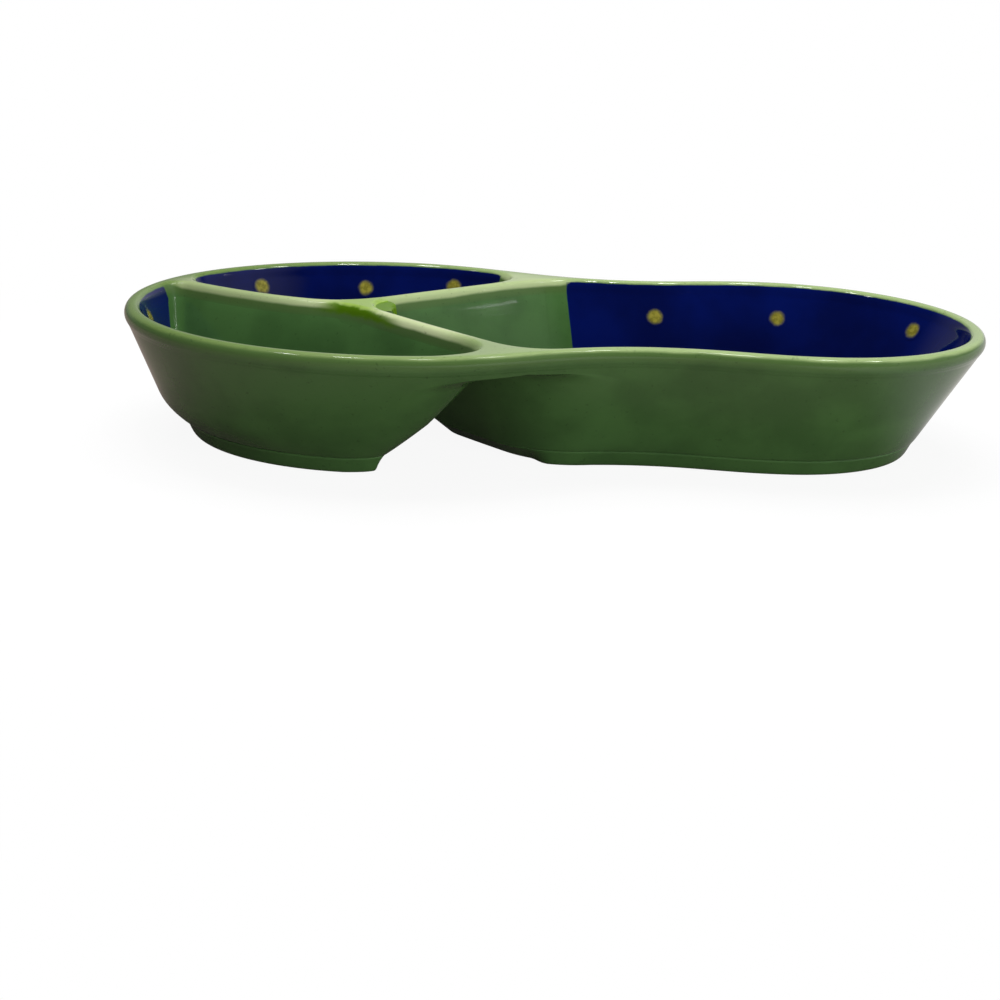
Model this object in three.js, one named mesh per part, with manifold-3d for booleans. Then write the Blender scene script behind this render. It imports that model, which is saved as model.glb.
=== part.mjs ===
// Divided serving dish: three glazed stoneware tubs under one rim, standing on three foot rings.
// Millimetres, +Z up. The origin is on the table plane, under the middle of the dish.
// +X runs along the dish towards the long tub, and +Y towards the back.
import * as THREE from "three";
import { mergeVertices } from "three/addons/utils/BufferGeometryUtils.js";
import Module from "manifold-3d";

const wasm = await Module();
wasm.setup();

// The dish in plan is a peanut: a wide lobe, a waist and a narrow lobe.
const DISH_LENGTH = 356;
const DISH_HEIGHT = 54.2;
const RIM_PLAN = {
  length: DISH_LENGTH,
  wide: { width: 185, x: -70 },
  waist: { width: 134, x: 36 },
  narrow: { width: 148, x: 98 },
};
// The same plan where the leaning walls would reach the table
const TABLE_LENGTH = 305;
const TABLE_PLAN = {
  length: TABLE_LENGTH,
  wide: { width: 122, x: -78 },
  waist: { width: 87, x: 30 },
  narrow: { width: 98.5, x: 92 },
};
const END_HANDLE = 0.56; // share of a quarter turn's reach that its Bezier handles take
const WAIST_HANDLE = 0.42; // the same for the S-curves on both sides of the waist

// Rim and walls
const RIM_WIDTH = 8;
const RIM_HEIGHT = 6.2;
const RIM_ROUND = 3.4;
const RIM_OVERHANG = 1; // the rim's bead stands this far outside the wall under it
const FLOOR_THICKNESS = 3;
const BELLY = 4; // at the wide end, the wall bulges by this much outside a straight line from foot to rim
const BELLY_HEIGHT = 19; // the bulging wall curves in under this height
const BELLY_SPAN = { full: -150, none: -60 }; // where along the dish the bulge is full, and where it ends

// Foot rings
const FOOT_HEIGHT = 7;
const FOOT_STEP = 0.4; // the foot stands this far inside the wall's lower edge
const FOOT_WIDTH = 6;
const FOOT_LEAN = 0.4;

// The divider is a fold of clay: a crest at rim height, and a groove under it between two tubs.
const DIVIDER_WIDTH = 8.5;
const DIVIDER_LEAN = 0.53; // how far a divider wall moves out per millimetre of drop
const FOLD_THICKNESS = 8.5; // from the crest down to the top of the groove
const GROOVE_ROUND = 4;
const GROOVE_LEAN = 0.48; // how far a groove's wall moves out per millimetre of drop
const LUTING_GAP = 0.3; // between two tubs where they meet inside the fold

// Divider arms in plan, each from the hub to a point outside the rim, bent by one control point.
// The flare is the share of a divider wall that rounds over into the outer wall, under the rim.
const HUB = new THREE.Vector2(-86, 0);
const ARMS = {
  left: { bend: new THREE.Vector2(-126, 2), end: new THREE.Vector2(-186, 52), flare: 0.12 },
  near: { bend: new THREE.Vector2(-62, -31), end: new THREE.Vector2(-6, -86), flare: 0.36 },
  far: { bend: new THREE.Vector2(-51, 28), end: new THREE.Vector2(12, 76), flare: 0.36 },
};

// Rounding of each tub's corners in plan, as the length trimmed from both edges at the crest.
// Order: the hub, the corner at the outline's start, the corner at its end, going anticlockwise.
// The blue glaze runs round a share of the corner at the outline's end.
const TUBS = {
  front: { from: "left", to: "near", trims: [16, 7, 28], outerPoints: 34, blueCorner: 0 },
  long: { from: "near", to: "far", trims: [16, 16, 24], outerPoints: 56, blueCorner: 0.5 },
  back: { from: "far", to: "left", trims: [14, 30, 13], outerPoints: 30, blueCorner: 0.5 },
};

// Glaze decoration
const GLAZE_THICKNESS = 0.6;
const GLAZE_GAP = 0.3;
const BLUE_RISE = 3; // the blue panels start this far above the floors
const DOT_DIAMETER = 7;
const DOT_GAP = 0.6; // a dot's flat back bridges the curve of the wall
// Each dot sits at a share of its wall's length, with a drop below the crest.
const DOTS = {
  front: [
    { share: 0.136, drop: 8.7 },
    { share: 0.39, drop: 9.7 },
    { share: 0.64, drop: 10.2 },
    { share: 0.88, drop: 9.2 },
  ],
  long: [
    { share: 0.115, drop: 13.2 },
    { share: 0.28, drop: 12.7 },
    { share: 0.45, drop: 11.7 },
    { share: 0.614, drop: 10.95 },
    { share: 0.786, drop: 14.7 },
    { share: 0.943, drop: 14.7 },
  ],
  back: [
    { share: 0.063, drop: 8.7 },
    { share: 0.381, drop: 10.95 },
    { share: 0.79, drop: 8.7 },
  ],
};
const HUB_GLAZE_RADIUS = 8;
const HUB_GLAZE_LOBE = 4;
const HUB_GLAZE_TURN = 0.75;

// Fineness of the mesh
const OUTLINE_STEPS = 40; // points on each Bezier quarter of the rim's outline
const ARM_STEPS = 40;
const DIVIDER_POINTS = 8; // points on each of a tub's two divider walls, per level
const CORNER_POINTS = 4; // points on each rounded corner, per level
const ROUND_STEPS = 3;
const WALL_STEPS = 3; // levels from the rim's underside to the lower edge of the blue panel
const BELLY_STEPS = 3; // levels from the foot to the height where the walls start to curve in
const DOT_SIDES = 16;
const HUB_GLAZE_POINTS = 48;

const GREEN = { color: 0x4f6d3e, roughness: 0.18, metalness: 0 };
const BLUE = { color: 0x0a1c6b, roughness: 0.12, metalness: 0 };
const YELLOW = { color: 0xc9b53a, roughness: 0.3, metalness: 0 };
const LIME = { color: 0x86a818, roughness: 0.15, metalness: 0 };

// Plan curves

/** A peanut outline as a closed anticlockwise loop of points. */
function peanut({ length, wide, waist, narrow }) {
  const v = (x, y) => new THREE.Vector2(x, y);
  const half = length / 2;
  const bulge = (from, to) =>
    new THREE.CubicBezierCurve(
      v(from.x, from.width / 2),
      v(from.x + WAIST_HANDLE * (to.x - from.x), from.width / 2),
      v(to.x - WAIST_HANDLE * (to.x - from.x), to.width / 2),
      v(to.x, to.width / 2),
    );
  const endTurn = (lobe, end) =>
    new THREE.CubicBezierCurve(
      v(end, 0),
      v(end, (END_HANDLE * lobe.width) / 2),
      v(lobe.x + END_HANDLE * (end - lobe.x), lobe.width / 2),
      v(lobe.x, lobe.width / 2),
    );
  const back = [
    ...endTurn(narrow, half).getSpacedPoints(OUTLINE_STEPS).slice(0, -1),
    ...bulge(narrow, waist).getSpacedPoints(OUTLINE_STEPS).slice(0, -1),
    ...bulge(waist, wide).getSpacedPoints(OUTLINE_STEPS).slice(0, -1),
    ...endTurn(wide, -half).getSpacedPoints(OUTLINE_STEPS).reverse(),
  ];
  const front = back.slice(1, -1).reverse();
  return [...back, ...front.map((p) => v(p.x, -p.y))];
}

/** Shifts a line of points sideways, to its left for a distance above 0, which may depend on the point. */
function shift(points, distance, closed) {
  const last = points.length - 1;
  return points.map((p, i) => {
    const before = points[i > 0 ? i - 1 : closed ? last : 0];
    const after = points[i < last ? i + 1 : closed ? 0 : last];
    const along = after.clone().sub(before).normalize();
    const by = typeof distance === "function" ? distance(p) : distance;
    return new THREE.Vector2(p.x - along.y * by, p.y + along.x * by);
  });
}

/** Where two lines of points cross: the point, and its place along each line. */
function crossing(a, b) {
  for (let i = 0; i + 1 < a.length; i++) {
    for (let j = 0; j + 1 < b.length; j++) {
      const r = a[i + 1].clone().sub(a[i]);
      const s = b[j + 1].clone().sub(b[j]);
      const across = r.cross(s);
      if (across === 0) continue;
      const gap = b[j].clone().sub(a[i]);
      const t = gap.cross(s) / across;
      const u = gap.cross(r) / across;
      if (t >= 0 && t < 1 && u >= 0 && u < 1)
        return { point: a[i].clone().addScaledVector(r, t), onA: i + t, onB: j + u };
    }
  }
  throw new Error("two lines of the plan don't meet");
}

/** The part of a line of points between two places on it, with its ends. */
function stretch(points, from, to, start, end) {
  const inside = points.filter((_, i) => i > from && i < to);
  return [start, ...inside, end];
}

/** Evenly spaced points along a line, after both its ends are trimmed. */
function spaced(points, count, trimStart, trimEnd) {
  const path = new THREE.Path().setFromPoints(points);
  const length = path.getLength();
  const from = trimStart / length;
  const to = 1 - trimEnd / length;
  return Array.from({ length: count }, (_, i) => path.getPointAt(from + ((to - from) * i) / (count - 1)));
}

/** Points on a rounded corner between the end of one edge and the start of the next. */
function roundedCorner(before, corner, after) {
  const curve = new THREE.QuadraticBezierCurve(before.at(-1), corner, after[0]);
  return curve.getPoints(CORNER_POINTS + 1).slice(1, -1);
}

const RIM_OUTLINE = peanut(RIM_PLAN);
const TABLE_OUTLINE = peanut(TABLE_PLAN);
const ARM_LINES = Object.fromEntries(
  Object.entries(ARMS).map(([name, arm]) => [
    name,
    new THREE.QuadraticBezierCurve(HUB, arm.bend, arm.end).getSpacedPoints(ARM_STEPS),
  ]),
);

/**
 * One tub's outline at one level, anticlockwise: the outer wall, then the two divider walls.
 * The outer wall follows a loop, and the divider walls lie armInset from the middle of their arms.
 * The flare, 0 to 1, rounds the outer corners by a share of the divider walls.
 */
function tubOutline(tub, wall, armInset, flare) {
  const fromEdge = shift(ARM_LINES[tub.from], armInset, false);
  const toEdge = shift(ARM_LINES[tub.to], -armInset, false);
  // The loop is turned so that the wall never runs over its own seam inside the tub.
  const seam = wall.length / 2;
  const turned = tub.from === "near" ? [...wall.slice(seam), ...wall.slice(0, seam)] : wall;
  const start = crossing(fromEdge, turned);
  const end = crossing(toEdge, turned);
  const hub = crossing(fromEdge, toEdge);
  const outer = stretch(turned, start.onB, end.onB, start.point, end.point);
  const toHub = stretch(toEdge, hub.onB, end.onA, hub.point, end.point).reverse();
  const fromHub = stretch(fromEdge, hub.onA, start.onA, hub.point, start.point);
  const [hubTrim, ...outerTrims] = tub.trims;
  const arms = [ARMS[tub.from], ARMS[tub.to]];
  const [startTrim, endTrim] = [fromHub, toHub].map((edge, i) => {
    const flared = arms[i].flare * new THREE.Path().setFromPoints(edge).getLength();
    return THREE.MathUtils.lerp(outerTrims[i], Math.max(outerTrims[i], flared), flare);
  });
  const outerPoints = spaced(outer, tub.outerPoints, startTrim, endTrim);
  const toPoints = spaced(toHub, DIVIDER_POINTS, endTrim, hubTrim);
  const fromPoints = spaced(fromHub, DIVIDER_POINTS, hubTrim, startTrim);
  return {
    outer: outerPoints,
    loop: [
      ...outerPoints,
      ...roundedCorner(outerPoints, end.point, toPoints),
      ...toPoints,
      ...roundedCorner(toPoints, hub.point, fromPoints),
      ...fromPoints,
      ...roundedCorner(fromPoints, start.point, outerPoints),
    ],
  };
}

// Walls at each height

const RIM_UNDERSIDE = DISH_HEIGHT - RIM_HEIGHT;
const GROOVE_TOP = DISH_HEIGHT - FOLD_THICKNESS;
const FLOOR_TOP = FOOT_HEIGHT + FLOOR_THICKNESS;
const BLUE_LOW = FLOOR_TOP + BLUE_RISE;
const armInset = (z) => DIVIDER_WIDTH / 2 + DIVIDER_LEAN * (RIM_UNDERSIDE - z);

/** The wide end's bulge at one height: evenly more from the rim down, then curving in to the foot. */
function bellyAt(z) {
  const straight = RIM_UNDERSIDE - BELLY_HEIGHT;
  if (z >= BELLY_HEIGHT) return (BELLY * (RIM_UNDERSIDE - z)) / straight;
  const turn = BELLY_HEIGHT - FOOT_HEIGHT;
  const slope = turn / straight;
  const down = (BELLY_HEIGHT - z) / turn;
  return BELLY * (1 + slope * down - (1 + slope) * down ** 2);
}

/** The outside of the outer wall at one height, moved inwards by an inset. */
function wallOutside(z, inset) {
  const drop = (RIM_UNDERSIDE - z) / RIM_UNDERSIDE;
  const top = shift(RIM_OUTLINE, RIM_OVERHANG, true);
  const loop = top.map((p, i) => p.clone().lerp(TABLE_OUTLINE[i], drop));
  const share = (x) => 1 - THREE.MathUtils.smoothstep(x, BELLY_SPAN.full, BELLY_SPAN.none);
  return shift(loop, (p) => inset - bellyAt(z) * share(p.x), true);
}

/** How far the corners have flared at one height: not at all at the rim, fully under the groove's round. */
function flareAt(z) {
  return THREE.MathUtils.clamp((RIM_UNDERSIDE - z) / (RIM_UNDERSIDE - GROOVE_TOP + GROOVE_ROUND), 0, 1);
}

/** A tub's outline inside its walls at one height. */
function tubInside(tub, z) {
  return tubOutline(tub, wallOutside(z, RIM_WIDTH - RIM_OVERHANG), armInset(z), 0);
}

/** A tub's outline outside its walls at one height, moved inwards by an inset. */
function tubOutside(tub, z, inset) {
  return tubOutline(tub, wallOutside(z, inset), grooveInset(z) + inset, flareAt(z));
}

/** Half the groove's width under a divider: a round top, then two leaning walls. */
function grooveInset(z) {
  const drop = Math.max(0, GROOVE_TOP - z);
  const roundDrop = Math.min(drop, GROOVE_ROUND);
  const round = Math.sqrt(GROOVE_ROUND ** 2 - (GROOVE_ROUND - roundDrop) ** 2);
  const lean = Math.max(0, drop - GROOVE_ROUND) * GROOVE_LEAN;
  return Math.max(LUTING_GAP / 2, round + lean);
}

// Heights of the levels down the inside of a wall, and up the curved part of its outside
const levels = (from, to, steps) =>
  Array.from({ length: steps + 1 }, (_, i) => THREE.MathUtils.lerp(from, to, i / steps));
const WALL_LEVELS = levels(RIM_UNDERSIDE, BLUE_LOW, WALL_STEPS);
const BELLY_LEVELS = levels(FOOT_HEIGHT, BELLY_HEIGHT, BELLY_STEPS);

// Solids

/** A closed solid through a chain of loops with equal point counts. */
function loft(rings, closed) {
  const count = rings[0].points.length;
  const positions = rings.flatMap((ring) => ring.points.flatMap((p) => [p.x, p.y, ring.z]));
  const faces = [];
  const spans = closed ? rings.length : rings.length - 1;
  for (let r = 0; r < spans; r++) {
    const low = r * count;
    const high = ((r + 1) % rings.length) * count;
    for (let i = 0; i < count; i++) {
      const j = (i + 1) % count;
      faces.push(low + i, low + j, high + j, low + i, high + j, high + i);
    }
  }
  if (!closed) {
    const last = (rings.length - 1) * count;
    for (const [a, b, c] of THREE.ShapeUtils.triangulateShape(rings[0].points, [])) faces.push(a, c, b);
    for (const [a, b, c] of THREE.ShapeUtils.triangulateShape(rings.at(-1).points, []))
      faces.push(last + a, last + b, last + c);
  }
  const geometry = new THREE.BufferGeometry();
  geometry.setAttribute("position", new THREE.Float32BufferAttribute(positions, 3));
  geometry.setIndex(faces);
  geometry.computeVertexNormals();
  return geometry;
}

function solidOf(geometry) {
  const bare = geometry.clone();
  bare.deleteAttribute("normal");
  bare.deleteAttribute("uv");
  const merged = mergeVertices(bare);
  return new wasm.Manifold(
    new wasm.Mesh({
      numProp: 3,
      vertProperties: merged.attributes.position.array,
      triVerts: new Uint32Array(merged.index.array),
    }),
  );
}

function geometryOf(solid) {
  const mesh = solid.getMesh();
  const geometry = new THREE.BufferGeometry();
  geometry.setAttribute("position", new THREE.BufferAttribute(mesh.vertProperties, 3));
  geometry.setIndex(new THREE.BufferAttribute(mesh.triVerts, 1));
  geometry.computeVertexNormals();
  return geometry;
}

/** The rim with the divider crests: one plate with three openings and a rounded top. */
function rimGeometry() {
  const plan = new THREE.Shape(RIM_OUTLINE.filter((_, i) => i % 2 === 0));
  for (const tub of Object.values(TUBS))
    plan.holes.push(new THREE.Path(tubInside(tub, RIM_UNDERSIDE).loop));
  const plate = new THREE.ExtrudeGeometry(plan, {
    depth: RIM_HEIGHT,
    bevelThickness: RIM_ROUND,
    bevelSize: RIM_ROUND,
    bevelOffset: -RIM_ROUND,
    bevelSegments: ROUND_STEPS,
  });
  plate.translate(0, 0, DISH_HEIGHT - RIM_HEIGHT - RIM_ROUND);
  // The lower rounding is cut off flat, where the rim sits on the tubs.
  const cutter = new THREE.BoxGeometry(2 * DISH_LENGTH, 2 * RIM_PLAN.wide.width, 2 * RIM_UNDERSIDE);
  return geometryOf(solidOf(plate).subtract(solidOf(cutter)));
}

/** A tub from its underside, up the outside, over the top and down the inside to its floor. */
function tubGeometry(tub) {
  const outside = (z) => ({ z, points: tubOutside(tub, z, 0).loop });
  const inside = (z) => ({ z, points: tubInside(tub, z).loop });
  const roundLevels = Array.from(
    { length: ROUND_STEPS + 1 },
    (_, i) => GROOVE_TOP - GROOVE_ROUND * (1 - Math.cos((Math.PI / 2) * (i / ROUND_STEPS))),
  );
  return loft(
    [
      ...BELLY_LEVELS.map(outside),
      ...roundLevels.reverse().map(outside),
      outside(RIM_UNDERSIDE),
      ...[...WALL_LEVELS, FLOOR_TOP].map(inside),
    ],
    false,
  );
}

/** The ring that a tub stands on. */
function footGeometry(tub) {
  const ring = (z, step) => {
    const inset = FOOT_STEP + step + FOOT_LEAN * (FOOT_HEIGHT - z);
    return { z, points: tubOutside(tub, FOOT_HEIGHT, inset).loop };
  };
  return loft([ring(0, 0), ring(FOOT_HEIGHT, 0), ring(FOOT_HEIGHT, FOOT_WIDTH), ring(0, FOOT_WIDTH)], true);
}

/** A tub's outer wall, seen from inside, at one height and distance from the glaze's seat. */
function wallInside(tub, z, lift) {
  return shift(tubInside(tub, Math.min(z, RIM_UNDERSIDE)).outer, lift, false);
}

/** The same with the part of the corner that the blue glaze runs round. */
function blueInside(tub, z, lift) {
  const count = tub.outerPoints + Math.round(tub.blueCorner * CORNER_POINTS);
  return shift(tubInside(tub, Math.min(z, RIM_UNDERSIDE)).loop.slice(0, count), lift, false);
}

/** The blue panel on the inside of a tub's outer wall, up to the rim's rounding. */
function blueGeometry(tub) {
  const band = (z) => {
    const seat = blueInside(tub, z, GLAZE_GAP);
    const face = blueInside(tub, z, GLAZE_GAP + GLAZE_THICKNESS);
    return { z, points: [...seat, ...face.reverse()] };
  };
  return loft([...WALL_LEVELS.toReversed().map(band), band(DISH_HEIGHT - RIM_ROUND)], false);
}

function dotGeometry() {
  return new THREE.CylinderGeometry(DOT_DIAMETER / 2, DOT_DIAMETER / 2, GLAZE_THICKNESS, DOT_SIDES);
}

/** Seats one dot flat on a tub's blue panel. */
function seatDot(dot, tub, { share, drop }) {
  const seatLift = GLAZE_GAP + GLAZE_THICKNESS + DOT_GAP;
  const height = DISH_HEIGHT - drop;
  const placeAt = (z, step) => {
    const path = new THREE.Path().setFromPoints(wallInside(tub, z, seatLift));
    const place = path.getPointAt(share + step / path.getLength());
    return new THREE.Vector3(place.x, place.y, z);
  };
  const sideways = placeAt(height, 1).sub(placeAt(height, -1));
  const upwards = placeAt(height + 1, 0).sub(placeAt(height - 1, 0));
  const normal = upwards.cross(sideways).normalize();
  dot.position.copy(placeAt(height, 0)).addScaledVector(normal, GLAZE_THICKNESS / 2);
  dot.quaternion.setFromUnitVectors(new THREE.Vector3(0, 1, 0), normal);
}

/** The lime patch of glaze on the hub, a three-lobed disc. */
function hubGlazeGeometry() {
  const lobes = 3;
  const points = Array.from({ length: HUB_GLAZE_POINTS }, (_, i) => {
    const angle = (i / HUB_GLAZE_POINTS) * 2 * Math.PI;
    const radius = HUB_GLAZE_RADIUS + HUB_GLAZE_LOBE * Math.cos(lobes * (angle - HUB_GLAZE_TURN));
    return new THREE.Vector2(HUB.x + radius * Math.cos(angle), HUB.y + radius * Math.sin(angle));
  });
  const options = { depth: GLAZE_THICKNESS, bevelEnabled: false };
  const patch = new THREE.ExtrudeGeometry(new THREE.Shape(points), options);
  patch.translate(0, 0, DISH_HEIGHT);
  return patch;
}

// Assembly

const dish = new THREE.Group();

function add(name, geometry, glaze) {
  const mesh = new THREE.Mesh(geometry, new THREE.MeshStandardMaterial(glaze));
  mesh.name = name;
  dish.add(mesh);
  return mesh;
}

add("rim_and_dividers", rimGeometry(), GREEN);
add("hub_glaze", hubGlazeGeometry(), LIME);
for (const [name, tub] of Object.entries(TUBS)) {
  add(`${name}_tub`, tubGeometry(tub), GREEN);
  add(`${name}_foot_ring`, footGeometry(tub), GREEN);
  add(`${name}_blue_glaze`, blueGeometry(tub), BLUE);
  DOTS[name].forEach((seat, i) => seatDot(add(`${name}_dot_${i + 1}`, dotGeometry(), YELLOW), tub, seat));
}

export default dish;
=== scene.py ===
"""Divided serving dish: three glazed stoneware tubs under one rim, on a pale floor.

The dish's own lengths are in millimetres, with heights from the table up, and its meshes are
scaled to metres. Places in the materials, the floor, the lamps and the camera are in metres.
"""

import math

import bpy
import numpy as np
from mathutils import Matrix, Vector, geometry


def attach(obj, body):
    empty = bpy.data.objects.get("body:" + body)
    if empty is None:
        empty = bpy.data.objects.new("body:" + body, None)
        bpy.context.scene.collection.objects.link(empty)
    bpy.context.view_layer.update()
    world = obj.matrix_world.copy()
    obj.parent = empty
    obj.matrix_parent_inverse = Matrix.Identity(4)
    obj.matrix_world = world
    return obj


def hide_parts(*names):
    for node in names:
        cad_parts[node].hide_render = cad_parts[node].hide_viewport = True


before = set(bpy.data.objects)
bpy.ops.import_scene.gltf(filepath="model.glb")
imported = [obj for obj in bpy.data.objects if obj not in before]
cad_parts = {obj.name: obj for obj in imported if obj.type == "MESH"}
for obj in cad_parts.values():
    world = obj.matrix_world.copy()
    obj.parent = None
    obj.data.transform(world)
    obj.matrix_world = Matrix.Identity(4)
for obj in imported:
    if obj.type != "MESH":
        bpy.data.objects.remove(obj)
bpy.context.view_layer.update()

MM = 0.001

# The dish in plan is a peanut: a wide lobe, a waist and a narrow lobe, each with its full width
# and its place along the dish.
DISH_HEIGHT = 54.2
RIM_PLAN = {"length": 356, "wide": (185, -70), "waist": (134, 36), "narrow": (148, 98)}
# The same plan where the leaning walls would reach the table
TABLE_PLAN = {"length": 305, "wide": (122, -78), "waist": (87, 30), "narrow": (98.5, 92)}
END_HANDLE = 0.56
WAIST_HANDLE = 0.42

RIM_WIDTH = 8
RIM_UNDERSIDE = 48
RIM_OVERHANG = 1
LEAST_OVERHANG = 0.1
# The rim's lowest edge runs into the wall: heights, and how far it stands out of the wall.
RIM_HEM = ((47.2, 0.05), (46.7, 0.015), (46.2, -0.06))
BEAD_DEPTH = 3
BEAD_RISE = 3.6
BEAD_ANGLES = np.arange(90, 244, 9)  # degrees round the bead, from its crest outwards and down
CREST_REACH = 4.2  # from a tub's mouth out to the level top of the crest
CREST_FOLLOW = 0.35  # the edge over a tub follows the wall's lean for this share of its rise
CREST_TURN = 0.3  # and is pulled to the level top from this share of its reach
CREST_STEPS = 12
CREST_END = (0.1, 0.005)  # its last ring stops this far short of the level top, and this far under
FLOOR_TOP = 10
FLOOR_FILLET = 8
FILLET_STEPS = 10
WALL_STEPS = 12
BELLY = 4  # the wide end's outer walls bulge by this much outside a straight line from foot to rim
BELLY_HEIGHT = 19
BELLY_SPAN = (-150, -60)  # full up to the first place along the dish, and gone from the second

FOOT_HEIGHT = 7
WALL_LEAN = 0.53  # how far a divider wall moves sideways per millimetre of drop
GROOVE_TOP = 45.7
GROOVE_ROUND = 3.3
GROOVE_LEAN = 0.48
LIP_DROP = 6.5  # the corners beside a groove open fully within this drop
LIP_ROUND = 1.4

# Divider arms, with their widths at the rim's underside. The flare is the share of a divider
# wall that rounds over into the outer wall. The slope is how far a foot moves in per
# millimetre of drop.
HUB = np.array([-86.0, 0.0])
ARMS = {
    "left": {"width": 8.6, "bend": (-126, 1.2), "end": (-186, 52), "flare": 0.12, "slope": 0.48},
    "near": {"width": 9, "bend": (-62, -31), "end": (-6, -86), "flare": 0.36, "slope": 1.2},
    "far": {"width": 9, "bend": (-51, 28), "end": (12, 76), "flare": 0.36, "slope": 1.2},
}
# Trims round a tub's corners in plan: the hub, then the outline's start and end, anticlockwise.
# The blue glaze runs round a share of the corners at the outline's start and end.
TUBS = {
    "front": {"from": "left", "to": "near", "trims": (16, 7, 28), "outer": 120, "blue": (0, 0)},
    "long": {"from": "near", "to": "far", "trims": (16, 16, 24), "outer": 220, "blue": (0, 0.4)},
    "back": {"from": "far", "to": "left", "trims": (14, 30, 13), "outer": 100, "blue": (0.3, 0.4)},
}
LEAST_TRIM = 0.02
CORNER_ROOM = 0.85  # the share of an edge that its two corners may take up

# A tub's heights on the outside. Its lower edge is rounded in by the second number.
TUB_LOWER_EDGE = ((7, 0.5), (7.15, 0.3), (7.5, 0.12), (8.2, 0.03))
TUB_UNDERSIDE_INSET = 1.6
TUB_WALL = [9.5, 11, 12.5, 14, 15.5, 17, 19, 22, 26, 30, 33, 35, 36.5, 37.5]
TUB_WALL += [38.3, 39.2, 40, 40.8, 41.5, 42.2, 42.9, 43.4]
GROOVE_ROOF_DROPS = (1.9, 1.65, 1.4, 1.2, 1.05, 0.9, 0.75, 0.6, 0.47, 0.35, 0.25, 0.15, 0.07, 0)
TUB_WALL += [GROOVE_TOP - drop for drop in GROOVE_ROOF_DROPS]
TUB_WALL += [46.0, 46.4, 47.0, 47.7, 48.3]
# The inside starts behind the rim's edge, so that both surfaces run on smoothly: how far above
# the rim's underside, and how far behind the edge.
MOUTH_LAPS = ((0.6, 0.12), (0.3, 0.06))

# Heights of a foot ring, and how far in from the tub's wall it lies: up its outside, then down
# its inside
FOOT_OUTSIDE = [(0, 4.4), (0.1, 4), (0.35, 3.65), (0.8, 3.25), (1.6, 2.75), (3, 2.1)]
FOOT_OUTSIDE += [(4.5, 1.5), (5.8, 0.9), (7.1, 0.35)]
FOOT_INSIDE = [(7.1, 6.4), (1.1, 8.8), (0.4, 8.7), (0.1, 8.3), (0, 7.7)]
FOOT_INSIDE_SLOPE = 0.7  # the share of the outside's slope under the divider walls
FOOT_ROUND = 0.5  # rounds the sloping side's last millimetre inwards
FOOT_STEP = 0.04  # the sloping side starts this far inside the tub's wall
# A foot slopes fully up to the first outer share, and is flush from the second amount above it.
FOOT_TURN = (0.35, 0.25)
# A point of an inset outline has folded over if it is nearer to the outline than this share.
FOLD_LIMIT = 0.9

# Each dot's share of its wall's length, and its drop below the crest
DOTS = {
    "front": [(0.136, 8.7), (0.39, 9.7), (0.64, 10.2), (0.88, 9.2)],
    "long": [
        (0.115, 13.2),
        (0.28, 12.7),
        (0.45, 11.7),
        (0.614, 10.95),
        (0.786, 14.7),
        (0.943, 14.7),
    ],
    "back": [(0.05, 8.7), (0.381, 10.95), (0.79, 8.7)],
}
DOT_RADIUS = 3.5
DOT_FADE = 1.2
DOT_LIFT = 0.12
DOT_RINGS = 7
DOT_SIDES = 40

POOL_CENTRE = np.array([-79.0, -2.0])
POOL_RADIUS = 12.5
POOL_CORNER = 33  # the trim of the corner that the pool rounds off
# The pool's surface, as distances out from that corner's line, and heights from the crest's top
POOL_GAPS = (0, 0.5, 1, 1.6, 2.4, 4)
POOL_LEVELS = (-6, -3.3, -2, -1.5, -1.35, -1.2)
POOL_STOP = 0.3  # it ends where the crest falls by this much towards the front or back tub
POOL_SUNK = 1  # and counts as this far under the surface from there on
POOL_RINGS = 30
POOL_SIDES = 120
FILM_EDGE = 0.05
FILM_RISE = 0.1

INNER_START = 5.5  # the rim's edge ends this far in from its outline
INNER_SPAN = 6  # and the middle of the plan starts after this much more

OUTLINE_STEPS = 60
OUTLINE_SKIP = 4  # distances to the rim's outline use every fourth point
BEZIER_STEPS = 600
ARM_STEPS = 80
DIVIDER_POINTS = 40
CORNER_POINTS = 16
CORNER_SHARES = np.linspace(0, 1, CORNER_POINTS + 2)[1:-1]
PARALLEL = 1e-12
TOUCHING = 1e-9
LINE_STEPS = 1000  # a dot is placed on a wall line in this many steps
NEXT_STEPS = 4  # and lies along the points this many steps off


# Plan curves


def smooth(share):
    """A share between 0 and 1, eased at both ends."""
    return share * share * (3 - 2 * share)


def even(points, count, trim_start=0.0, trim_end=0.0):
    """Evenly spaced points along a line, after both its ends are trimmed."""
    steps = np.hypot(*np.diff(points, axis=0).T)
    along = np.concatenate([[0], np.cumsum(steps)])
    at = np.linspace(trim_start, along[-1] - trim_end, count)
    return np.column_stack([np.interp(at, along, points[:, k]) for k in range(2)])


def bezier(points, count):
    """Evenly spaced points on a quadratic or cubic Bezier curve."""
    t = np.linspace(0, 1, BEZIER_STEPS)[:, None]
    degree = len(points) - 1
    line = sum(
        math.comb(degree, k) * (1 - t) ** (degree - k) * t**k * np.array(p, float)
        for k, p in enumerate(points)
    )
    return even(line, count)


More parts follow.
